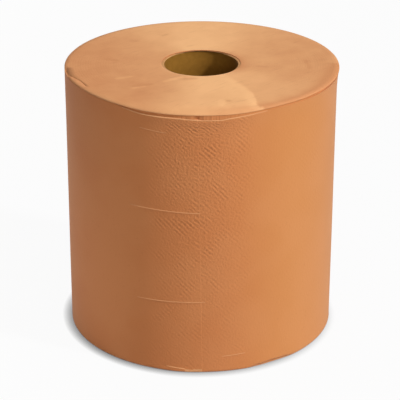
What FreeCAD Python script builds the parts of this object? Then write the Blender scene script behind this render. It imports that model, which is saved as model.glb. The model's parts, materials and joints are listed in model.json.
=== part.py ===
import FreeCAD, Part

import math
import os

# A large roll of embossed two-ply paper towel, wound on a cardboard core and standing on one end.
# Millimetres, +Z up. The origin is on the core's axis, in the plane that the roll stands on.
# -Y is the front, where the loose end of the paper lies. Angles run anticlockwise from +X.

# Core tube
CORE_BORE_DIAMETER = 70.0
CORE_WALL = 2.5
CORE_RECESS = 0.8  # the core stops this far below the upper end face
CORE_FIT = 0.1  # radial room between the core and the first turn of paper

# Wound paper
ROLL_DIAMETER = 258.0  # over the last turn, below the flared rim
ROLL_HEIGHT = 262.0
TAIL_ANGLE = -90.0  # where the last turn ends, and where every spiral starts
TAIL_STEP = 0.8  # height of the step at the loose end, with the slack behind it

# Flared rim: the upper edge leans out on the +X side, where the roll was pressed
FLARE_REACH = 2.6
FLARE_HEIGHT = 25.0

# Rim groove: the last turn has slipped down at the front and leaves a shadow gap under the rim
RIM_THICKNESS = 1.2
GROOVE_DEPTH = 1.2
GROOVE_HEIGHT_FRONT = 3.4
GROOVE_HEIGHT_SIDE = 1.2

# Slit between the outer turns, on the left of the upper end face
SLIT_WIDTH = 0.9
SLIT_DEPTH = 3.0
SLIT_EDGE_START = 2.5  # distance from the edge where the slit starts
SLIT_EDGE_END = 8.0  # distance from the edge where the slit ends
SLIT_ANGLE_START = 183.0
SLIT_ANGLE_END = 203.0

# Turns that show on both end faces as one fine spiral line
TURN_LINE_PITCH = 16.0
TURN_LINE_WIDTH = 0.6
TURN_LINE_DEPTH = 0.3
TURN_LINE_MARGIN = 6.0  # plain band outside the core and inside the slit

OVERSHOOT = 20.0  # a cutting tool passes the surface that it cuts by this much

ROLL_RADIUS = ROLL_DIAMETER / 2
CORE_BORE_RADIUS = CORE_BORE_DIAMETER / 2
CORE_OUTER_RADIUS = CORE_BORE_RADIUS + CORE_WALL
PAPER_BORE_RADIUS = CORE_OUTER_RADIUS + CORE_FIT
UP = FreeCAD.Vector(0, 0, 1)
CENTRE = FreeCAD.Vector(0, 0, 0)


def polar(radius, angle, height=0.0):
    """The point at that radius, angle in degrees, and height."""
    turn = math.radians(angle)
    return FreeCAD.Vector(radius * math.cos(turn), radius * math.sin(turn), height)


def spiral(end_radius, pitch, quarters):
    """Quarter arcs of a flat spiral that grows by pitch each turn and ends at that radius."""
    growth = pitch / 4
    angle = TAIL_ANGLE + 90.0 * quarters
    centre = polar(growth / 2, angle + 180) + polar(growth / 2, angle + 90)
    radius = end_radius + growth / 2
    arcs = []
    for _ in range(quarters):
        start = centre + polar(radius, angle - 90)
        middle = centre + polar(radius, angle - 45)
        end = centre + polar(radius, angle)
        arcs.insert(0, Part.Arc(start, middle, end).toShape())
        angle -= 90
        centre += polar(growth, angle)
        radius -= growth
    return arcs


def roll_outline(radius, shift, height):
    """The roll's outline: the last turn, with the step where it ends, as one closed wire."""
    turn = spiral(radius, TAIL_STEP, 4)
    tail_end = Part.makeLine(turn[-1].lastVertex().Point, turn[0].firstVertex().Point)
    outline = Part.Wire(turn + [tail_end])
    outline.translate(FreeCAD.Vector(shift, 0, height))
    return outline


def wound_cylinder():
    """The paper as a full drum, straight below and flared towards +X at the upper edge."""
    flare_base = ROLL_HEIGHT - FLARE_HEIGHT
    straight = Part.Face(roll_outline(ROLL_RADIUS, 0, 0)).extrude(UP * flare_base)
    lower = roll_outline(ROLL_RADIUS, 0, flare_base)
    upper = roll_outline(ROLL_RADIUS + FLARE_REACH / 2, FLARE_REACH / 2, ROLL_HEIGHT)
    flared = Part.makeLoft([lower, upper], True, True)
    return straight.fuse(flared)


def rim_groove():
    """The gap under the rim, highest at the front and closing behind the sides."""
    top = ROLL_HEIGHT - RIM_THICKNESS
    slope = (GROOVE_HEIGHT_FRONT - GROOVE_HEIGHT_SIDE) / ROLL_RADIUS
    front = -ROLL_RADIUS - OVERSHOOT
    closing = GROOVE_HEIGHT_SIDE / slope
    left = -ROLL_RADIUS - OVERSHOOT
    corners = [
        FreeCAD.Vector(left, front, top),
        FreeCAD.Vector(left, closing, top),
        FreeCAD.Vector(left, front, top - slope * (closing - front)),
    ]
    section = Part.Face(Part.makePolygon(corners + corners[:1]))
    wedge = section.extrude(FreeCAD.Vector(-2 * left, 0, 0))
    kept = Part.makeCylinder(ROLL_RADIUS - GROOVE_DEPTH, ROLL_HEIGHT, CENTRE, UP)
    return wedge.cut(kept)


def rim_slit():
    """The narrow gap where the outer turns have parted, drifting inwards along the edge."""
    bottom = ROLL_HEIGHT - SLIT_DEPTH
    start = polar(ROLL_RADIUS - SLIT_EDGE_START, SLIT_ANGLE_START, bottom)
    end = polar(ROLL_RADIUS - SLIT_EDGE_END, SLIT_ANGLE_END, bottom)
    middle_radius = ROLL_RADIUS - (SLIT_EDGE_START + SLIT_EDGE_END) / 2
    middle_angle = (SLIT_ANGLE_START + SLIT_ANGLE_END) / 2
    walls = []
    for side in (SLIT_WIDTH / 2, -SLIT_WIDTH / 2):
        middle = polar(middle_radius + side, middle_angle, bottom)
        walls.append(Part.Arc(start, middle, end).toShape())
    return Part.Face(Part.Wire(walls)).extrude(UP * (SLIT_DEPTH + OVERSHOOT))


def turn_lines():
    """The fine spiral groove of the turns, one in each end face."""
    inner_limit = PAPER_BORE_RADIUS + TURN_LINE_MARGIN
    outer_limit = ROLL_RADIUS - SLIT_EDGE_END - TURN_LINE_MARGIN
    quarters = int((outer_limit - inner_limit) / (TURN_LINE_PITCH / 4))
    outer = spiral(outer_limit + TURN_LINE_WIDTH / 2, TURN_LINE_PITCH, quarters)
    inner = spiral(outer_limit - TURN_LINE_WIDTH / 2, TURN_LINE_PITCH, quarters)
    start_cap = Part.makeLine(inner[0].firstVertex().Point, outer[0].firstVertex().Point)
    end_cap = Part.makeLine(outer[-1].lastVertex().Point, inner[-1].lastVertex().Point)
    strip = Part.Face(Part.Wire(outer + [end_cap] + inner[::-1] + [start_cap]))
    lower = strip.extrude(UP * TURN_LINE_DEPTH)
    upper = lower.translated(UP * (ROLL_HEIGHT - TURN_LINE_DEPTH))
    return [lower, upper]


def paper_roll():
    """Every turn of the paper as one solid, with its bore, rim groove, slit and turn lines."""
    bore = Part.makeCylinder(PAPER_BORE_RADIUS, ROLL_HEIGHT, CENTRE, UP)
    return wound_cylinder().cut([bore, rim_groove(), rim_slit()] + turn_lines())


def core_tube():
    """The cardboard tube, flush with the roll's base and a little below its upper face."""
    height = ROLL_HEIGHT - CORE_RECESS
    outside = Part.makeCylinder(CORE_OUTER_RADIUS, height, CENTRE, UP)
    inside = Part.makeCylinder(CORE_BORE_RADIUS, height, CENTRE, UP)
    return outside.cut(inside)


def export(shape, name):
    """Writes one piece to parts/, after checking that it is a single valid solid."""
    if not shape.isValid() or len(shape.Solids) != 1:
        raise ValueError(f"{name} is not one valid solid")
    shape.Solids[0].exportStep(os.path.join("parts", name + ".step"))


os.makedirs("parts", exist_ok=True)
export(paper_roll(), "paper_roll")
export(core_tube(), "core_tube")
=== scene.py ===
import json
import math

import bmesh
import bpy
from mathutils import Matrix, Vector, noise


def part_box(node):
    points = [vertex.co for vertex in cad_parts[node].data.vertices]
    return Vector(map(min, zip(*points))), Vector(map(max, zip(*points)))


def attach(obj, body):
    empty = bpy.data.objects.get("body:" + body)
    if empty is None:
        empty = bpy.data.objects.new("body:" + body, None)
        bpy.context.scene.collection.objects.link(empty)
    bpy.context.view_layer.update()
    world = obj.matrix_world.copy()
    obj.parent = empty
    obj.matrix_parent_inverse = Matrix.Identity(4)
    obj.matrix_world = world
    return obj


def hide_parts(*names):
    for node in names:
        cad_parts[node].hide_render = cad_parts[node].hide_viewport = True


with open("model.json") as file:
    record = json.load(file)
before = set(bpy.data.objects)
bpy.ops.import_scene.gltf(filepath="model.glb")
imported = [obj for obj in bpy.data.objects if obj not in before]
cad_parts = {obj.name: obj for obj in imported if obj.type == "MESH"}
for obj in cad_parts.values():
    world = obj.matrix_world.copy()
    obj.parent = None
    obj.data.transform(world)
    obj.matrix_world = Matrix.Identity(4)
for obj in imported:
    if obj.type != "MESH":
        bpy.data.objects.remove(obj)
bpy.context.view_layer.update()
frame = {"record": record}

# A large roll of embossed paper towel on a cardboard core, standing on its lower end.
# Metres, +Z up, -Y is the front. Angles run anticlockwise from +X.
MM = 0.001

# Sizes that the frame gives
paper_low, paper_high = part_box("paper_roll")
core_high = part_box("core_tube")[1]
core_mount = next(m for m in frame["record"]["mounts"] if m["name"] == "core_bore")
HEIGHT = paper_high.z
RADIUS = -paper_low.x
CORE_TOP = core_high.z
CORE_OUTER = core_high.x
CORE_BORE = core_mount["dims"]["r_mm"] * MM
CORE_FIT = 0.1 * MM  # radial room between the core and the first turn of paper
PAPER_BORE = CORE_OUTER + CORE_FIT

# Outer turn of paper
EMBOSS_CELL = 2.5 * MM  # half the repeat of the embossed dots
EMBOSS_RISE = 0.05 * MM
EMBOSS_WEAR = 28 * MM  # size of the patches where it is pressed flat
COLUMNS = 2 * round(math.pi * RADIUS / EMBOSS_CELL)
COLUMN = 2 * math.pi / COLUMNS
TAIL_ANGLE = math.radians(-90)
TAIL_STEP = 0.12 * MM
TAIL_LEAN = math.radians(2.0)  # the loose end leans this far from the bottom to the top
TAIL_LEAN_CENTRE = 0.35  # share of the height where the loose end is at its own angle
TAIL_EDGE = 0.3 * MM  # half the width of the step at the loose end
TAIL_CLOSES = 0.75 * COLUMN  # points within this angle of the loose end close up to it
SLACK_RISE = 0.3 * MM  # broad unevenness of the slack outer turn
SLACK_SCALE = 75 * MM
EDGE_STEP = 0.3 * MM  # small bevels, and half the slit, as drawn before they are shaped

# Foot of the outer turn
FOOT_ROUND = 0.9 * MM
FOOT_FLARE = 0.9 * MM
FOOT_FLARE_HEIGHT = 5 * MM
FOOT_FLARE_ANGLE = math.radians(-99)
FOOT_FLARE_SPREAD = math.radians(9)
# Painted highlight: at these angles and below this height the foot gets the pale cut paper
FOOT_PAINTED_HIGHLIGHT = (math.radians(-97.5), math.radians(-90.2))
FOOT_PAINTED_HIGHLIGHT_HEIGHT = 3 * MM
FOOT_LIFT = ((-69, 0), (-66, 1.6), (-63, 2.0), (-59, 3.0), (-54, 2.4), (-51, 1.8), (-47, 0))
FOOT_UNDERCUT = 0.5  # the torn edge stands out by this share of its lift
FOOT_LIFT_HEIGHT = 6 * MM

# Rim of the upper end face: it hangs down at the front, where the turn under it has slipped.
# Runs of points, each an angle in degrees and a size in mm.
RIM_THICKNESS = 1.6 * MM
RIM_ROUND = 0.9 * MM
RIM_DROOP = (
    (-150, 0), (-138, 0.4), (-128, 1.2), (-121, 1.8), (-112, 2.8), (-104, 3.1), (-78, 3.0),
    (-72, 2.5), (-65, 1.5), (-55, 0.6), (-44, 0.45), (-20, 0.4), (10, 0),
)
RIM_DROOP_REACH = 18 * MM
RIM_SAG = ((-176, 0), (-171, 0.8), (-164, 0.8), (-161, 0))  # outside the slit
FLARE_REACH = 1.6 * MM  # how far the rim leans out on the right
FLARE_HEIGHT = 25 * MM

# Gap under the rim, down to the edge of the slipped turn, and a fine line on to the right
RIM_GAP = (
    (-126, 0.04), (-122, 0.9), (-119, 1.6), (-115.6, 2.4), (-112, 2.6), (-101, 2.7), (-97, 3.1),
    (-90, 4.1), (-82, 4.3), (-79, 3.1), (-74, 2.4), (-70, 2.1), (-64, 1.5), (-58, 1.2),
    (-50, 1.5), (-44, 1.9), (8, 2.1), (30, 0.04),
)
GAP_DEPTH_DRAWN = 0.8 * MM
GAP_DEPTH = (
    (-118, 0.7), (-101, 0.8), (-96, 0.6), (-93.5, 0.4), (-90, 0.5), (-76, 0.5), (-60, 0.8),
    (-45, 1.3), (-30, 2.0), (-15, 3.0), (10, 3.0), (30, 0.6),
)
POCKET_DEPTH = 1.7 * MM  # the small hole at the loose end's upper corner
POCKET_ANGLE = math.radians(-91.4)
POCKET_SPREAD = math.radians(0.8)
LIP_SHARE = ((-124, 0), (-116, 0.6), (-108, 1), (-76, 1), (-62, 0))  # 1 where the edge shows
LIP_PALE = (math.radians(-122), math.radians(-62))  # where its edge is painted pale as cut paper, a painted highlight
LIP_PROUD = 0.5 * MM  # the slipped turn's edge stands out by this much, then bends inwards
LIP_PROUD_HEIGHT = 9 * MM
LIP_BEND = 0.8 * MM
LIP_BEND_HEIGHT = 1.1 * MM

# Slit between the outer turns, on the left of the upper end face
SLIT_DEPTH = 3.0 * MM
SLIT_CLOSED = 0.15 * MM  # half its width where it is closed
SLIT_DEEP_FROM = 0.3 * MM  # it has its full depth where it opens by this much or more
SLIT_EDGE = (
    (-180, 5.4), (-173, 1.6), (-165, 1.6), (-163, 2.0), (-161, 3.6), (-159, 4.6), (-157, 6.0),
    (-155.5, 6.6), (-150.7, 6.3), (-148, 5.4),
)
SLIT_OPENING = (
    (-174, 0), (-171, 0.25), (-167, 0.3), (-163, 0.3), (-161, 0.3), (-159, 0.4), (-157, 0.15),
    (-155.5, 0.4), (-153.5, 0.1), (-150.7, 0.4), (-147.5, 0),
)

# Creases in the outer turn: start angle and height, end angle and height, rise
CREASE_FEET = (-1.8 * MM, 0, 0.7 * MM)  # lower foot, ridge, upper foot
CREASES = (
    (-121.0, 164.9, -87.5, 162.8, 0.4),
    (-118.5, 72.0, -86.5, 73.4, 0.35),
    (-114.5, 243.0, -102.5, 239.8, 0.2),
    (-82.0, 15.8, -71.0, 17.0, 0.2),
    (-105.0, 4.6, -96.5, 3.0, 0.35),
)

# End faces: broad unevenness and the lines of the turns
TURN_PITCH = 16 * MM
TURN_DEPTH = 0.12 * MM
FACE_RINGS = 44
FACE_BAND = 9 * MM  # between the edge and the outermost ring
FACE_RISE = 0.2 * MM
FACE_SCALE = 35 * MM

# Edge of the part of the upper face that the saw has loosened, as points in mm
LOOSE_EDGE = (
    (19, -30), (27.6, -48), (37.4, -67), (46, -83), (49, -101), (49.5, -113), (57, -119),
    (63, -128),
)
LOOSE_RISE = 0.7 * MM
LOOSE_WIDTH = 9 * MM

# Painted highlight on the paper at the foot and on the slipped turn's edge, where 1 is the lightest
# painted light
FOOT_TONE = 0.3
FOOT_TONE_HEIGHT = 8 * MM
LIP_TONE = 0.45

# Marks on the upper face, painted lighter or darker as the highlight and shade of their relief: two
# ends in mm, and how much lighter or darker
MARK_WIDTH = 2.2 * MM
MARKS_PAINTED_LIGHT = (
    (-77, -44, -65, -39, 0.3),
    (-28, -46, -18, -41, 0.35),
    (-33, -52, -23, -47, 0.3),
    (-15, -46, -5, -45, -0.4),
    (-61, -70, -52, -65, 0.3),
    (-60, -65, -46, -60, -0.35),
    (-89, 10, -81, 7, -0.4),
    (-68, 65, -63, 65, -0.2),
    (-38, 82, -34, 86, -0.35),
    (99, 8, 102, -15, -0.18),
    (54, -9, 61, -11, -0.2),
    (18.6, -103, 18.6, -114, 0.35),
    (24, -104, 25, -105, -0.6),
)

# Core tube
CORE_RINGS = 168
CORE_COLUMNS = 120
CORE_COLUMN = 2 * math.pi / CORE_COLUMNS
CORE_ROUND = 0.5 * MM
CORE_SIDE = PAPER_BORE - 0.02 * MM  # swollen nearly to the paper, so that no light shows between
MOUTH_SPREAD = 1.8 * MM  # its worn upper mouth is this much wider from front to back
MOUTH_DEPTH = 15 * MM
SEAM_TURNS = 2
SEAM_DEPTH = 0.2 * MM

# Camera, fitted to both rims, the hole and the base
CAMERA_ELEVATION = math.radians(23.68)
CAMERA_DISTANCE = 1.652
CAMERA_TARGET = Vector((-0.82 * MM, 0, 120.1 * MM))
CAMERA_ROLL = math.radians(0.10)
CAMERA_LENS = 151.7  # millimetres, on a sensor 36 mm wide

# Lights: a sun, and square boxes with their size, power, place and target
SUN_STRENGTH = 0.74 * math.pi
SUN_WIDTH = math.radians(5)
SUN_AZIMUTH = math.radians(-25)
SUN_ELEVATION = math.radians(37)
BOXES = (
    ("low_card", 0.2, 0.22, (-0.34, -0.14, 0.02), (0, 0, 0.02)),
    ("front_box", 0.3, 1.65, (0.33, -0.85, 0.6), (0, 0, 0.17)),
    ("back_box", 1.0, 5.5, (-0.9, 1.3, 0.35), (0, 0, 0.13)),
    ("top_box", 1.6, 9.4, (0.1, -0.2, 1.9), (0, 0, 0.2)),
)
SURROUND = 0.138

# Floor: how much of it the camera sees as white, and its narrow painted contact shadow
FLOOR_WHITE = 0.945
CONTACT_REACH = 10 * MM
CONTACT_LEAN = (0.62, 0.42, 0.66)  # leans towards the light, so that the painted contact shadow lies to the front left

# Corner points of the paper's section, in the order in which it is drawn
(
    BORE_FOOT, FOOT, SIDE_FOOT, PLY_BEND, PLY_EDGE, PLY_BACK, GAP_FLOOR, GAP_ROOF, RIM_UNDER,
    RIM_SIDE, RIM_SHOULDER, FACE_EDGE, SLIT_OUTSIDE, SLIT_FLOOR, SLIT_INSIDE, FACE, BORE_LIP,
) = range(17)
SHARP_CORNERS = (BORE_FOOT, FOOT, PLY_EDGE, PLY_BACK, GAP_FLOOR, GAP_ROOF, RIM_UNDER, BORE_LIP)

# The core's section starts at the foot of its bore; these are its next two corners.
CORE_BORE_TOP = 1
CORE_MOUTH = 2


def srgb(hex_colour, alpha=1.0):
    """Turns an sRGB hex colour to linear."""
    values = [int(hex_colour[i : i + 2], 16) / 255 for i in (1, 3, 5)]
    linear = [v / 12.92 if v <= 0.04045 else ((v + 0.055) / 1.055) ** 2.4 for v in values]
    return (*linear, alpha)


def put(tree, kind, settings=None, inputs=None):
    """Adds a node with its settings. An input is a value, a socket, or a node's first output."""
    node = tree.nodes.new(kind)
    for name, value in (settings or {}).items():
        setattr(node, name, value)
    for key, value in (inputs or {}).items():
        if isinstance(value, bpy.types.Node):
            tree.links.new(value.outputs[0], node.inputs[key])
        elif isinstance(value, bpy.types.NodeSocket):
            tree.links.new(value, node.inputs[key])
        else:
            node.inputs[key].default_value = value
    return node


def fade(value, start, end):
    """0 at start, 1 at end, smooth between them."""
    t = min(max((value - start) / (end - start), 0.0), 1.0)
    return t * t * (3 - 2 * t)


def sweep(angle, start, end):
    """0 at the start angle, 1 at the end angle, which are in degrees."""
    return fade(angle, math.radians(start), math.radians(end))


def lies_on(place, first, last):
    """Whether a place along the section is one of these corners or between them."""
    return first - 0.01 <= place <= last + 0.01


def turned(angle):
    """The angle brought to between -180 and 180 degrees."""
    return (angle + math.pi) % (2 * math.pi) - math.pi


def looked_up(points, angle):
    """The size at that angle, from a run of points with angles in degrees and sizes in mm."""
    place = math.degrees(turned(angle))
    if place <= points[0][0]:
        return points[0][1] * MM
    for (start, first), (end, last) in zip(points, points[1:]):
        if place < end:
            return (first + (last - first) * (place - start) / (end - start)) * MM
    return points[-1][1] * MM


def piece(name, bm, materials):
    """Makes a finished mesh object of bm, smooth-shaded."""
    mesh = bpy.data.meshes.new(name)
    for face in bm.faces:
        face.smooth = True
    bm.to_mesh(mesh)
    bm.free()
    for material in materials:
        mesh.materials.append(material)
    made = bpy.data.objects.new(name, mesh)
    bpy.context.scene.collection.objects.link(made)
    return made


def drawn_section(bm, corners, angle, along):
    """Draws a closed section at that angle; corners give radius, height and the runs to the next."""
    verts = []
    for number, (radius, height, _) in enumerate(corners):
        vert = bm.verts.new((radius * math.cos(angle), radius * math.sin(angle), height))
        vert[along] = number
        verts.append(vert)
    edges = []
    for number, vert in enumerate(verts):
        edges.append(bm.edges.new((vert, verts[(number + 1) % len(verts)])))
    for edge, (_, _, runs) in zip(edges, corners):
        if runs > 1:
            bmesh.ops.subdivide_edges(bm, edges=[edge], cuts=runs - 1)


def spun(bm, columns):
    """Spins the drawn section once round the Z axis."""
    bmesh.ops.spin(
        bm, geom=bm.verts[:] + bm.edges[:], cent=(0, 0, 0), axis=(0, 0, 1),
        dvec=(0, 0, 0), angle=2 * math.pi, steps=columns, use_merge=True,
    )


def crease_planes():
    """Each crease as a point, the plane's normal, its direction, half its length and its rise."""
    planes = []
    for start_angle, start_height, end_angle, end_height, rise in CREASES:
        ends = []
        for angle, height in ((start_angle, start_height), (end_angle, end_height)):
            turn = math.radians(angle)
            ends.append(
                Vector((RADIUS * math.cos(turn), RADIUS * math.sin(turn), height * MM))
            )
        middle = (ends[0] + ends[1]) / 2
        direction = (ends[1] - ends[0]).normalized()
        outwards = Vector((middle.x, middle.y, 0)).normalized()
        normal = direction.cross(outwards).normalized()
        if normal.z < 0:
            normal.negate()
        half_length = (ends[1] - ends[0]).length / 2
        planes.append((middle, normal, direction, half_length, rise * MM))
    return planes


def is_outside(face):
    """Whether the face belongs to the outer turn."""
    centre = face.calc_center_median()
    return math.hypot(centre.x, centre.y) > RADIUS - EMBOSS_CELL / 2


def cut_creases(bm, planes):
    """Cuts the outer turn along each crease, crisp, with a painted highlight on the strip above the
    ridge.
    """
    for middle, normal, _, half_length, _ in planes:
        reach = half_length + 2 * EMBOSS_CELL
        for offset in CREASE_FEET:
            near = []
            for face in bm.faces:
                away = face.calc_center_median() - middle
                close = away.length < reach and abs(away.dot(normal)) < 3 * EMBOSS_CELL
                if close and is_outside(face):
                    near.append(face)
            edges = list({edge for face in near for edge in face.edges})
            verts = list({vert for face in near for vert in face.verts})
            cut = bmesh.ops.bisect_plane(
                bm, geom=verts + edges + near, dist=0.01 * MM,
                plane_co=middle + normal * offset, plane_no=normal,
            )
            for part in cut["geom_cut"]:
                if isinstance(part, bmesh.types.BMEdge):
                    part.smooth = False
        # Painted highlight: the strip above each ridge gets the paler cut paper.
        for face in bm.faces:
            away = face.calc_center_median() - middle
            close = away.length < 0.9 * half_length and 0 < away.dot(normal) < CREASE_FEET[2]
            if close and is_outside(face):
                face.material_index = 1


def crease_rise(spot, planes):
    """How far the creases raise the outer turn at a spot."""
    lower, _, upper = CREASE_FEET
    total = 0.0
    for middle, normal, direction, half_length, rise in planes:
        away = spot - middle
        across = away.dot(normal)
        across /= upper if across > 0 else lower
        share = abs(away.dot(direction)) / half_length
        if across < 1 and share < 1 and away.length < 2 * half_length:
            total += rise * (1 - across) * (1 - share ** 4)
    return total


def rim_underside(angle):
    """Height of the rim's underside."""
    return HEIGHT - RIM_THICKNESS - looked_up(RIM_DROOP, angle)


def lip_share(angle):
    """1 where the slipped turn's edge shows, 0 elsewhere."""
    return looked_up(LIP_SHARE, angle) / MM


def flare(angle, height):
    """How far the outer turn leans out at that angle and height."""
    lift = min(max((height - HEIGHT + FLARE_HEIGHT) / FLARE_HEIGHT, 0.0), 1.0)
    return FLARE_REACH / 2 * (1 + math.cos(angle)) * lift ** 2


def nearest_on(spot, points):
    """Signed distance from a run of points in mm, positive to the right of its direction."""
    nearest = None
    for start, end in zip(points, points[1:]):
        first = Vector((*start, 0)) * MM
        along = Vector((*end, 0)) * MM - first
        share = min(max((spot - first).dot(along) / along.length_squared, 0.0), 1.0)
        away = spot - first - along * share
        distance = math.copysign(away.length, -along.cross(away).z)
        if nearest is None or abs(distance) < abs(nearest):
            nearest = distance
    return nearest


def face_relief(spot):
    """Rise of an end face at a spot: broad unevenness, the turns' lines and the loosened part."""
    turn = (math.atan2(spot.y, spot.x) - TAIL_ANGLE) % (2 * math.pi)
    phase = (spot.length / TURN_PITCH - turn / (2 * math.pi)) % 1.0
    line = max(0.0, 1 - abs(phase - 0.5) * 10)
    rise = FACE_RISE * (noise.noise(spot / FACE_SCALE) - 0.5) - TURN_DEPTH * line
    if spot.y < 0:
        past = nearest_on(spot, LOOSE_EDGE)
        loose = fade(past, -1 * MM, LOOSE_WIDTH) * (1 - fade(past, 0, 6 * LOOSE_WIDTH))
        rise += LOOSE_RISE * loose * fade(spot.length, PAPER_BORE, PAPER_BORE + 18 * MM)
    return rise


def painted_light_tone(spot):
    """Painted light on an end face at a spot, 0 dark and 1 light: painted sheen, highlights and
    shade.
    """
    place = math.atan2(spot.y, spot.x)
    from_edge = RADIUS - spot.length
    from_bore = max(spot.length - PAPER_BORE, 0.0)
    # Painted sheen: lighter to the right, towards the bore and in a broad lobe at the back.
    tone = 0.15 + 0.1 * math.cos(place) + 0.2 * (1 - fade(spot.length, 45 * MM, 105 * MM))
    tone += 0.8 * math.exp(-(turned(place - math.radians(93)) / math.radians(38)) ** 2)

    # Painted highlight: the loosened part in front is lighter up to its edge. Painted shade darkens
    # the front rim where it rolls off.
    if spot.y < 0:
        past = nearest_on(spot, LOOSE_EDGE)
        sharp = fade(spot.length, 70 * MM, 105 * MM)
        loose = fade(past, (5 * sharp - 6) * MM, 1 * MM)
        front = sweep(place, -124, -86) * (1 - sweep(place, -20, 20))
        ridge = math.exp(-(past / (7 * MM)) ** 2) * fade(spot.length, 80 * MM, 110 * MM)
        beyond = 0.35 * (1 - sweep(place, -50, -15))
        tone += loose * front * (0.7 + 0.35 * ridge) + (1 - loose) * beyond
        rim_weight = 0.2 + 0.4 * sweep(place, -92, -80)
        tone -= rim_weight * front * math.exp(-(from_edge / (9 * MM)) ** 2)

    # Painted highlights along the left rim and on the bore's front edge, and painted shade in a band
    # on the bore's right
    left = sweep(place, -152, -140) * (1 - sweep(place, -125, -112))
    tone += 0.2 * left * math.exp(-(from_edge / (3 * MM)) ** 2)
    tone += 0.4 * max(-math.sin(place), 0.0) * math.exp(-(from_bore / (1.5 * MM)) ** 2)
    tone -= 0.6 * max(math.cos(place), 0.0) * math.exp(-from_bore / (6 * MM))
    # Painted highlight and shade of the marks' relief
    for x, y, end_x, end_y, shade in MARKS_PAINTED_LIGHT:
        away = nearest_on(spot, ((x, y), (end_x, end_y)))
        tone += shade * math.exp(-(away / MARK_WIDTH) ** 2)
    return tone


def mark_side(bm, along):
    """Sets the side's pattern coordinates, the faces of cut paper, some of them painted pale as
    highlights, and the edges that stay crisp.
    """
    sheet = bm.loops.layers.uv.new("sheet")
    side_faces = []
    for face in bm.faces:
        places = [vert[along] for vert in face.verts]
        low = min(places)
        high = max(places)
        if low >= SIDE_FOOT and high <= PLY_BEND:
            side_faces.append(face)
        centre = face.calc_center_median()
        middle = math.atan2(centre.y, centre.x)
        # Painted highlight: the slipped turn's bend and edge get the pale cut paper.
        lip = low >= PLY_BEND and high <= PLY_BACK and LIP_PALE[0] < middle < LIP_PALE[1]
        # Painted highlight: a patch at the foot in front gets the pale cut paper.
        painted_foot = FOOT_PAINTED_HIGHLIGHT[0] < middle < FOOT_PAINTED_HIGHLIGHT[1]
        painted_foot = painted_foot and centre.z < FOOT_PAINTED_HIGHLIGHT_HEIGHT
        if low >= RIM_UNDER or high <= FOOT or lip or (painted_foot and low >= SIDE_FOOT):
            face.material_index = 1
        after_tail = (middle - TAIL_ANGLE) % (2 * math.pi)
        for loop in face.loops:
            x, y, height = loop.vert.co
            around = after_tail + turned(math.atan2(y, x) - middle)
            loop[sheet].uv = ((around / COLUMN - 0.5) * EMBOSS_CELL, height)
    for edge in bm.edges:
        places = [vert[along] for vert in edge.verts]
        corners = {round(place, 3) for place in places}
        if len(corners) == 1 and corners <= set(SHARP_CORNERS):
            edge.smooth = False
        angles = [turned(math.atan2(vert.co.y, vert.co.x) - TAIL_ANGLE) for vert in edge.verts]
        upright = abs(angles[0] - angles[1]) < COLUMN / 4
        at_loose_end = upright and abs(angles[0]) < TAIL_CLOSES
        if at_loose_end and min(places) >= SIDE_FOOT and max(places) <= PLY_EDGE:
            edge.smooth = False
    return side_faces


def wall_depth(angle):
    """How far the wall of the gap under the rim lies behind the outer turn."""
    pocket = math.exp(-(turned(angle - POCKET_ANGLE) / POCKET_SPREAD) ** 2)
    return looked_up(GAP_DEPTH, angle) + POCKET_DEPTH * pocket


def shape_outer_turn(vert, place, radius, angle, after_tail, planes):
    """Radius and height of a point on the outer turn."""
    x, y, drawn_height = vert.co
    radius -= TAIL_STEP * (1 - after_tail / (2 * math.pi))

    # Its upper part is squeezed so that it ends at the gap under the rim.
    height = drawn_height
    seat = rim_underside(angle) - looked_up(RIM_GAP, angle)
    squeeze_from = HEIGHT - FLARE_HEIGHT
    if height > squeeze_from:
        share = (height - squeeze_from) / (HEIGHT - RIM_THICKNESS - squeeze_from)
        height = squeeze_from + share * (seat - squeeze_from)

    # Embossed dots and slack paper, both fading out towards the edges
    inside = fade(height, 0.5 * MM, 3 * MM) * fade(seat - height, 0.3 * MM, 2 * MM)
    u = (after_tail / COLUMN - 0.5) * math.pi
    v = drawn_height / EMBOSS_CELL * math.pi
    crisp = fade(noise.noise(vert.co / EMBOSS_WEAR), -0.1, 0.4)
    radius += EMBOSS_RISE * math.cos(u) * math.cos(v) * crisp * inside
    slack = noise.noise(Vector((x, y, drawn_height * 0.6)) / SLACK_SCALE)
    radius += SLACK_RISE * slack * inside

    # Foot: flared at the front left, torn and lifted at the front right
    from_foot = turned(angle - FOOT_FLARE_ANGLE) / FOOT_FLARE_SPREAD
    radius += FOOT_FLARE * (1 - fade(height, 0, FOOT_FLARE_HEIGHT)) * math.exp(-from_foot ** 2)
    lift = looked_up(FOOT_LIFT, angle)
    height += lift * (1 - fade(height, 0, FOOT_LIFT_HEIGHT))
    if place < SIDE_FOOT - 0.01:
        radius -= FOOT_UNDERCUT * lift
    radius += crease_rise(Vector((x, y, drawn_height)), planes)

    # The slipped turn's edge stands out, bends inwards and meets the wall of the gap.
    opened = lip_share(angle)
    radius += LIP_PROUD * opened * fade(height, seat - LIP_PROUD_HEIGHT, seat - LIP_BEND_HEIGHT)
    if place > PLY_EDGE - 0.01:
        radius -= LIP_BEND * opened
    if place > PLY_BACK - 0.01:
        radius = (radius + EDGE_STEP + RADIUS - wall_depth(angle)) / 2
    radius += flare(angle, height)
    return radius, height


def shape_gap(place, angle):
    """Radius and height of a point in the gap under the rim."""
    height = rim_underside(angle)
    if place < GAP_ROOF:
        height -= looked_up(RIM_GAP, angle)
    return RADIUS - wall_depth(angle) + flare(angle, HEIGHT), height


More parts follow.
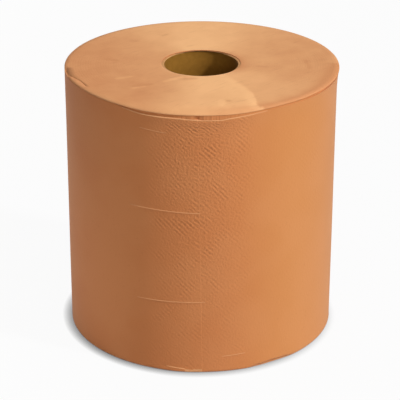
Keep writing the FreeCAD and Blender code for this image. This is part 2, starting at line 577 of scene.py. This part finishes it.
def shape_slit(place, angle, height):
    """Radius and height of a point at the slit between the outer turns."""
    opening = looked_up(SLIT_OPENING, angle)
    side = SLIT_FLOOR - place
    radius = RADIUS - looked_up(SLIT_EDGE, angle) + side * (SLIT_CLOSED + opening)
    if side > 0.5:
        height -= looked_up(RIM_SAG, angle)
    elif side > -0.5:
        height -= SLIT_DEPTH * min(opening / SLIT_DEEP_FROM, 1.0)
    return radius, height


def shape_paper(bm, along, planes):
    """Moves the spun body's points: loose end, outer turn, rim gap, flare, slit and end faces."""
    painted_light = bm.verts.layers.float.new("painted_light")
    for vert in bm.verts:
        place = vert[along]
        x, y, height = vert.co
        radius = math.hypot(x, y)
        angle = math.atan2(y, x)

        # The columns beside the loose end close up to a narrow step, which leans to the left.
        after_tail = (angle - TAIL_ANGLE) % (2 * math.pi)
        if after_tail < TAIL_CLOSES:
            angle = TAIL_ANGLE + TAIL_EDGE / RADIUS
        elif after_tail > 2 * math.pi - TAIL_CLOSES:
            angle = TAIL_ANGLE - TAIL_EDGE / RADIUS
        angle -= TAIL_LEAN * (height / HEIGHT - TAIL_LEAN_CENTRE)

        # Each part of the section has its own way of being shaped.
        droop = looked_up(RIM_DROOP, angle)
        if lies_on(place, FOOT, FOOT):
            radius -= FOOT_UNDERCUT * looked_up(FOOT_LIFT, angle)
        elif lies_on(place, FOOT, PLY_BACK):
            radius, height = shape_outer_turn(vert, place, radius, angle, after_tail, planes)
        elif lies_on(place, GAP_FLOOR, GAP_ROOF):
            radius, height = shape_gap(place, angle)
        elif lies_on(place, RIM_UNDER, FACE_EDGE):
            radius += flare(angle, HEIGHT)
            height -= droop
            if place > RIM_SIDE:
                height -= looked_up(RIM_SAG, angle)
        elif lies_on(place, FACE_EDGE, BORE_LIP):
            if lies_on(place, SLIT_OUTSIDE, SLIT_INSIDE):
                radius, height = shape_slit(place, angle, height)
            inwards = min(max((radius - PAPER_BORE) / (RADIUS - PAPER_BORE), 0.0), 1.0)
            radius += flare(angle, HEIGHT) * inwards ** 2
            spot = Vector((radius * math.cos(angle), radius * math.sin(angle), 0))
            from_edge = max(RADIUS - radius, 0.0)
            height += face_relief(spot) * fade(from_edge, 0, 3 * MM)
            height -= droop * max(1 - from_edge / RIM_DROOP_REACH, 0.0) ** 2
        vert.co = (radius * math.cos(angle), radius * math.sin(angle), height)

        # Painted light: on the side only at the foot and on the lip, as painted highlights
        vert[painted_light] = painted_light_tone(Vector((vert.co.x, vert.co.y, 0)))
        if SIDE_FOOT - 0.01 <= place < PLY_BEND:
            vert[painted_light] = FOOT_TONE if height < FOOT_TONE_HEIGHT else 0.0
        elif lies_on(place, PLY_BEND, PLY_BACK):
            vert[painted_light] = LIP_TONE * lip_share(angle)


def make_paper_roll(side_paper, cut_paper):
    """The wound paper: one closed body, spun from its section and then shaped."""
    bm = bmesh.new()
    along = bm.verts.layers.float.new("along")
    seat = HEIGHT - RIM_THICKNESS
    shoulder = HEIGHT - RIM_ROUND
    slit = RADIUS - SLIT_EDGE[0][1] * MM
    wall = RADIUS - GAP_DEPTH_DRAWN
    corners = (
        (PAPER_BORE, 0, 14),
        (RADIUS - FOOT_ROUND, 0, 2),
        (RADIUS, FOOT_ROUND, round((seat - FOOT_ROUND) / EMBOSS_CELL)),
        (RADIUS, seat - LIP_BEND_HEIGHT, 2),
        (RADIUS, seat, 1),
        (RADIUS - EDGE_STEP, seat, 1),
        (wall, seat, 1),
        (wall, seat, 1),
        (RADIUS - EDGE_STEP, seat, 1),
        (RADIUS, seat + EDGE_STEP, 1),
        (RADIUS, shoulder, 1),
        (RADIUS - RIM_ROUND, HEIGHT, 1),
        (slit + EDGE_STEP, HEIGHT, 1),
        (slit, HEIGHT, 1),
        (slit - EDGE_STEP, HEIGHT, 1),
        (RADIUS - FACE_BAND, HEIGHT, FACE_RINGS),
        (PAPER_BORE, HEIGHT, 1),
    )
    drawn_section(bm, corners, TAIL_ANGLE + COLUMN / 2, along)
    spun(bm, COLUMNS)
    planes = crease_planes()
    cut_creases(bm, planes)
    side_faces = mark_side(bm, along)
    shape_paper(bm, along, planes)
    bmesh.ops.poke(bm, faces=side_faces)
    bmesh.ops.recalc_face_normals(bm, faces=bm.faces[:])
    return piece("paper_turns", bm, (side_paper, cut_paper))


def make_core(board, sawn_board):
    """The spiral-wound tube, with sawn end rings and the seam of its inner ply as a helix."""
    bm = bmesh.new()
    along = bm.verts.layers.float.new("along")
    corners = (
        (CORE_BORE, CORE_ROUND, CORE_RINGS),
        (CORE_BORE, CORE_TOP - CORE_ROUND, 2),
        (CORE_BORE + CORE_ROUND, CORE_TOP, 3),
        (CORE_SIDE, CORE_TOP, 12),
        (CORE_SIDE, 0, 3),
        (CORE_BORE + CORE_ROUND, 0, 2),
    )
    drawn_section(bm, corners, 0, along)
    spun(bm, CORE_COLUMNS)
    for face in bm.faces:
        height = face.calc_center_median().z
        if min(height, CORE_TOP - height) < CORE_ROUND:
            face.material_index = 1

    # The rings at the section's corners stay crisp.
    for edge in bm.edges:
        places = [vert[along] for vert in edge.verts]
        if len({round(place, 3) for place in places} & set(range(len(corners)))) == 1:
            edge.smooth = places[0] != places[1]

    # The seam climbs as a helix, and the mouth is worn.
    for vert in bm.verts:
        x, y, height = vert.co
        radius = math.hypot(x, y)
        angle = math.atan2(y, x)
        if vert[along] <= CORE_BORE_TOP:
            if abs(angle) < 0.5 * CORE_COLUMN:
                radius += SEAM_DEPTH
            elif abs(angle) < 1.5 * CORE_COLUMN:
                angle *= 0.5
            share = (height - CORE_ROUND) / (CORE_TOP - 2 * CORE_ROUND)
            angle += 2 * math.pi * SEAM_TURNS * share
        if vert[along] <= CORE_MOUTH:
            rim_weight = fade(height, CORE_TOP - MOUTH_DEPTH, CORE_TOP - CORE_ROUND)
            radius += MOUTH_SPREAD * rim_weight * math.sin(angle) ** 2
        vert.co = (radius * math.cos(angle), radius * math.sin(angle), height)
    bmesh.ops.recalc_face_normals(bm, faces=bm.faces[:])
    return piece("core", bm, (board, sawn_board))


def new_material(name):
    """An empty node material with its output and its Principled shader."""
    material = bpy.data.materials.new(name)
    material.use_nodes = True
    tree = material.node_tree
    tree.nodes.clear()
    shader = put(tree, "ShaderNodeBsdfPrincipled")
    put(tree, "ShaderNodeOutputMaterial", inputs={"Surface": shader.outputs["BSDF"]})
    return material, tree, shader


def creped_tissue():
    """Dyed recycled tissue, dry-creped and embossed: fully matte, with faint cloudy dyeing."""
    material, tree, shader = new_material("creped_recycled_tissue")
    place = put(tree, "ShaderNodeTexCoord").outputs["Object"]
    sheet = put(tree, "ShaderNodeUVMap", {"uv_map": "sheet"})

    # The colour is yellower towards the right, and faintly cloudy all over.
    sides = put(tree, "ShaderNodeSeparateXYZ", {}, {0: place})
    yellower_right = put(
        tree, "ShaderNodeMapRange", {"interpolation_type": "SMOOTHSTEP"},
        {"Value": sides, "From Min": 10 * MM, "From Max": 95 * MM},
    )
    dye = put(
        tree, "ShaderNodeMix", {"data_type": "RGBA"},
        {0: yellower_right, 6: srgb("#D1834D"), 7: srgb("#D28B4F")},
    ).outputs[2]
    clouds = put(tree, "ShaderNodeTexNoise", {}, {"Vector": place, "Scale": 1 / (60 * MM)})
    share = put(
        tree, "ShaderNodeMapRange", {"interpolation_type": "SMOOTHSTEP"},
        {"Value": clouds, "From Min": 0.35, "From Max": 0.65, "To Max": 0.25},
    )
    dyed = put(
        tree, "ShaderNodeMix", {"data_type": "RGBA"},
        {0: share, 6: dye, 7: srgb("#DC9660")},
    ).outputs[2]
    specks = put(
        tree, "ShaderNodeTexNoise", {},
        {"Vector": place, "Scale": 1 / (2.2 * MM), "Detail": 4.0},
    )
    speck_share = put(
        tree, "ShaderNodeMapRange", {},
        {"Value": specks, "From Min": 0.6, "From Max": 0.75, "To Max": 0.2},
    )
    speckled = put(
        tree, "ShaderNodeMix", {"data_type": "RGBA"},
        {0: speck_share, 6: dyed, 7: srgb("#B86E40")},
    ).outputs[2]

    # Embossed dots in a chequer pattern, drifting, worn away in patches, with pebbles between.
    drift = put(tree, "ShaderNodeTexNoise", {}, {"Vector": sheet, "Scale": 1 / (9 * MM)})
    drifted = put(
        tree, "ShaderNodeVectorMath", {"operation": "MULTIPLY_ADD"},
        {0: drift.outputs["Color"], 1: (1.8 * MM, 1.8 * MM, 0), 2: sheet},
    )
    cells = put(
        tree, "ShaderNodeVectorMath", {"operation": "SCALE"},
        {0: drifted, "Scale": math.pi / EMBOSS_CELL},
    )
    axes = put(tree, "ShaderNodeSeparateXYZ", {}, {0: cells})
    across = put(tree, "ShaderNodeMath", {"operation": "COSINE"}, {0: axes.outputs[0]})
    upwards = put(tree, "ShaderNodeMath", {"operation": "COSINE"}, {0: axes.outputs[1]})
    dots = put(tree, "ShaderNodeMath", {"operation": "MULTIPLY"}, {0: across, 1: upwards})
    wear = put(
        tree, "ShaderNodeTexNoise", {},
        {"Vector": sheet, "Scale": 1 / (16 * MM), "Detail": 2.0},
    )
    pressed = put(
        tree, "ShaderNodeMapRange", {},
        {"Value": wear, "From Min": 0.45, "From Max": 0.68, "To Min": 0.05},
    )
    printed = put(tree, "ShaderNodeMath", {"operation": "MULTIPLY"}, {0: dots, 1: pressed})

    # The relief is strongest on the slack paper at the front, milder behind and at the foot.
    offset = put(
        tree, "ShaderNodeMath", {"operation": "MULTIPLY"}, {0: sides, 1: 1 / (52 * MM)},
    )
    squared = put(tree, "ShaderNodeMath", {"operation": "POWER"}, {0: offset, 1: 2.0})
    slack = put(
        tree, "ShaderNodeMapRange", {"interpolation_type": "SMOOTHSTEP"},
        {"Value": squared, "From Min": 1.2, "From Max": 0.0, "To Min": 0.3, "To Max": 2.6},
    )
    pebbles = put(
        tree, "ShaderNodeTexNoise", {},
        {"Vector": sheet, "Scale": 1 / (2.2 * MM), "Detail": 2.0},
    )
    height = put(
        tree, "ShaderNodeMath", {"operation": "MULTIPLY_ADD"},
        {0: pebbles, 1: 2.6, 2: printed},
    )
    behind = put(
        tree, "ShaderNodeMapRange", {},
        {"Value": sides.outputs[1], "From Min": -10 * MM, "From Max": 60 * MM, "To Max": 1.3},
    )
    slacker = put(tree, "ShaderNodeMath", {"operation": "MAXIMUM"}, {0: slack, 1: behind})
    pulled = put(
        tree, "ShaderNodeMapRange", {"interpolation_type": "SMOOTHSTEP"},
        {"Value": sides.outputs[2], "From Min": 0.0, "From Max": 225 * MM, "To Min": 0.3},
    )
    softer = put(tree, "ShaderNodeMath", {"operation": "MULTIPLY"}, {0: slacker, 1: pulled})
    relief = put(tree, "ShaderNodeMath", {"operation": "MULTIPLY"}, {0: height, 1: softer})
    emboss = put(tree, "ShaderNodeBump", {}, {"Height": relief, "Distance": 0.125 * MM})

    # Real crepe lines are about 0.4 mm apart; they are drawn 1 mm apart so that they show.
    stretched = put(tree, "ShaderNodeMapping", {}, {"Vector": sheet, "Scale": (1.0, 0.2, 1.0)})
    crepe = put(tree, "ShaderNodeTexNoise", {}, {"Vector": stretched, "Scale": 1 / (1 * MM)})
    normal = put(
        tree, "ShaderNodeBump", {},
        {"Height": crepe, "Distance": 0.1 * MM, "Normal": emboss},
    )
    tree.links.new(speckled, shader.inputs["Base Color"])
    tree.links.new(normal.outputs[0], shader.inputs["Normal"])
    shader.inputs["Roughness"].default_value = 0.95
    shader.inputs["Specular IOR Level"].default_value = 0.2
    shader.inputs["Sheen Weight"].default_value = 0.18
    shader.inputs["Sheen Roughness"].default_value = 0.5
    return material


def cut_tissue():
    """The sawn edges of the turns: a felt-like nap with fine rings, lighter and darker by the
    painted light each point carries.
    """
    material, tree, shader = new_material("sawn_tissue_edge")
    place = put(tree, "ShaderNodeTexCoord").outputs["Object"]

    # Painted sheen, highlights and shade: each point carries how much lighter its colour is painted.
    painted_light = put(tree, "ShaderNodeAttribute", {"attribute_name": "painted_light"}).outputs["Fac"]
    patches = put(
        tree, "ShaderNodeTexNoise", {},
        {"Vector": place, "Scale": 1 / (22 * MM), "Detail": 4.0},
    )
    mottled = put(
        tree, "ShaderNodeMapRange", {},
        {"Value": patches, "From Min": 0.3, "From Max": 0.7, "To Min": -0.1, "To Max": 0.1},
    )
    tone = put(
        tree, "ShaderNodeMath", {"operation": "ADD", "use_clamp": True}, {0: painted_light, 1: mottled},
    )
    painted_light_colour = put(
        tree, "ShaderNodeMix", {"data_type": "RGBA"},
        {0: tone, 6: srgb("#D49363"), 7: srgb("#F5BC85")},
    ).outputs[2]

    # The saw drags the loose fibres one way, and leaves short darker streaks.
    dragged = put(
        tree, "ShaderNodeMapping", {"vector_type": "TEXTURE"},
        {"Vector": place, "Rotation": (0, 0, math.radians(42)), "Scale": (7, 1, 1)},
    )
    streaks = put(tree, "ShaderNodeTexNoise", {}, {"Vector": dragged, "Scale": 1 / (2.4 * MM)})
    streaked = put(
        tree, "ShaderNodeMapRange", {},
        {"Value": streaks, "From Min": 0.58, "From Max": 0.75, "To Max": 0.15},
    )
    colour = put(
        tree, "ShaderNodeMix", {"data_type": "RGBA"},
        {0: streaked, 6: painted_light_colour, 7: srgb("#B0714A")},
    ).outputs[2]

    # Real turns are about 0.3 mm apart; the rings are drawn 2.4 mm apart so that they show.
    distance = put(
        tree, "ShaderNodeVectorMath", {"operation": "LENGTH"},
        {0: put(tree, "ShaderNodeVectorMath", {"operation": "MULTIPLY"}, {0: place, 1: (1, 1, 0)})},
    ).outputs["Value"]
    phase = put(
        tree, "ShaderNodeMath", {"operation": "MULTIPLY"},
        {0: distance, 1: 2 * math.pi / (2.4 * MM)},
    )
    ring = put(tree, "ShaderNodeMath", {"operation": "SINE"}, {0: phase})
    rings = put(tree, "ShaderNodeBump", {}, {"Height": ring, "Distance": 0.012 * MM})
    fibres = put(
        tree, "ShaderNodeTexNoise", {},
        {"Vector": place, "Scale": 1 / (1.4 * MM), "Detail": 3.0},
    )
    normal = put(
        tree, "ShaderNodeBump", {},
        {"Height": fibres, "Distance": 0.15 * MM, "Normal": rings},
    )
    tree.links.new(colour, shader.inputs["Base Color"])
    tree.links.new(normal.outputs[0], shader.inputs["Normal"])
    shader.inputs["Roughness"].default_value = 0.95
    shader.inputs["Specular IOR Level"].default_value = 0.15
    return material


def paper_board(name, dark, light):
    """Recycled board, dull and faintly mottled with fibres."""
    material, tree, shader = new_material(name)
    place = put(tree, "ShaderNodeTexCoord").outputs["Object"]
    fibres = put(
        tree, "ShaderNodeTexNoise", {},
        {"Vector": place, "Scale": 1 / (4 * MM), "Detail": 4.0},
    )
    share = put(
        tree, "ShaderNodeMapRange", {},
        {"Value": fibres, "From Min": 0.3, "From Max": 0.7},
    )
    colour = put(
        tree, "ShaderNodeMix", {"data_type": "RGBA"},
        {0: share, 6: srgb(dark), 7: srgb(light)},
    ).outputs[2]
    fuzz = put(tree, "ShaderNodeTexNoise", {}, {"Vector": place, "Scale": 1 / (1.2 * MM)})
    bump = put(tree, "ShaderNodeBump", {}, {"Height": fuzz, "Distance": 0.08 * MM})
    tree.links.new(colour, shader.inputs["Base Color"])
    tree.links.new(bump.outputs[0], shader.inputs["Normal"])
    shader.inputs["Roughness"].default_value = 0.85
    shader.inputs["Specular IOR Level"].default_value = 0.3
    return material


def white_floor():
    """Seamless white: the camera sees it near white, with the roll's shadow and a painted contact
    shadow.
    """
    material = bpy.data.materials.new("studio_white")
    material.use_nodes = True
    tree = material.node_tree
    tree.nodes.clear()
    rays = put(tree, "ShaderNodeLightPath")
    seen = put(
        tree, "ShaderNodeMath", {"operation": "MAXIMUM"},
        {0: rays.outputs["Is Camera Ray"], 1: rays.outputs["Is Glossy Ray"]},
    )
    seen = put(
        tree, "ShaderNodeMath", {"operation": "MAXIMUM"},
        {0: seen, 1: rays.outputs["Is Transmission Ray"]},
    )
    share = put(tree, "ShaderNodeMath", {"operation": "MULTIPLY"}, {0: seen, 1: FLOOR_WHITE})
    matte = put(tree, "ShaderNodeBsdfDiffuse", inputs={"Color": srgb("#C8C8C8")})
    # Painted contact shadow: ambient occlusion darkens the floor's glow near the roll, leaning so
    # that it lies to the front left.
    lean = put(tree, "ShaderNodeCombineXYZ", {}, dict(enumerate(CONTACT_LEAN)))
    contact = put(
        tree, "ShaderNodeAmbientOcclusion", {}, {"Distance": CONTACT_REACH, "Normal": lean},
    )
    glow = put(tree, "ShaderNodeEmission", inputs={"Color": contact, "Strength": 1.0})
    mixed = put(
        tree, "ShaderNodeMixShader",
        inputs={0: share, 1: matte, 2: glow},
    )
    put(tree, "ShaderNodeOutputMaterial", inputs={"Surface": mixed})
    return material


def make_floor():
    """A wide floor under the roll."""
    bm = bmesh.new()
    bmesh.ops.create_grid(bm, x_segments=4, y_segments=4, size=20)
    floor = piece("floor", bm, (white_floor(),))


def aim(made, position, target, roll=0.0):
    """Turns an object at that position to look at the target."""
    look = (target - position).to_track_quat("-Z", "Y").to_matrix().to_4x4()
    made.matrix_world = Matrix.Translation(position) @ look @ Matrix.Rotation(roll, 4, "Z")


def make_camera():
    """The camera in front of the roll, looking down on it."""
    data = bpy.data.cameras.new("camera")
    data.lens = CAMERA_LENS
    data.sensor_width = 36
    data.clip_end = 100
    camera = bpy.data.objects.new("camera", data)
    bpy.context.scene.collection.objects.link(camera)
    away = Vector((0, -math.cos(CAMERA_ELEVATION), math.sin(CAMERA_ELEVATION)))
    aim(camera, CAMERA_TARGET + away * CAMERA_DISTANCE, CAMERA_TARGET, CAMERA_ROLL)
    bpy.context.scene.camera = camera


def make_lights():
    """A key from the right, boxes low on the left, in front, behind and above, and a surround."""
    sun = bpy.data.lights.new("key", "SUN")
    sun.energy = SUN_STRENGTH
    sun.angle = SUN_WIDTH
    key = bpy.data.objects.new("key", sun)
    bpy.context.scene.collection.objects.link(key)
    towards = Vector((
        math.cos(SUN_AZIMUTH) * math.cos(SUN_ELEVATION),
        math.sin(SUN_AZIMUTH) * math.cos(SUN_ELEVATION),
        math.sin(SUN_ELEVATION),
    ))
    aim(key, towards * 3, Vector((0, 0, 0)))

    for name, size, power, place, target in BOXES:
        area = bpy.data.lights.new(name, "AREA")
        area.shape = "SQUARE"
        area.size = size
        area.energy = power
        box = bpy.data.objects.new(name, area)
        box.visible_camera = False
        bpy.context.scene.collection.objects.link(box)
        aim(box, Vector(place), Vector(target))

    world = bpy.data.worlds.new("surround")
    bpy.context.scene.world = world
    world.use_nodes = True
    tree = world.node_tree
    tree.nodes.clear()
    rays = put(tree, "ShaderNodeLightPath")
    even = put(tree, "ShaderNodeBackground", {}, {"Color": srgb("#FFF6EE"), "Strength": SURROUND})
    seen = put(tree, "ShaderNodeBackground", {}, {"Color": srgb("#FFFFFF"), "Strength": 1.0})
    mixed = put(
        tree, "ShaderNodeMixShader",
        inputs={0: rays.outputs["Is Camera Ray"], 1: even, 2: seen},
    )
    put(tree, "ShaderNodeOutputWorld", inputs={"Surface": mixed})


bpy.context.scene.view_settings.view_transform = "Standard"
make_camera()
make_lights()
make_floor()

paper = make_paper_roll(creped_tissue(), cut_tissue())
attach(paper, "root")
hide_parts("paper_roll")

core = make_core(
    paper_board("spiral_wound_board", "#8B6019", "#966820"),
    paper_board("sawn_board_edge", "#C48F5C", "#CE9963"),
)
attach(core, "root")
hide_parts("core_tube")
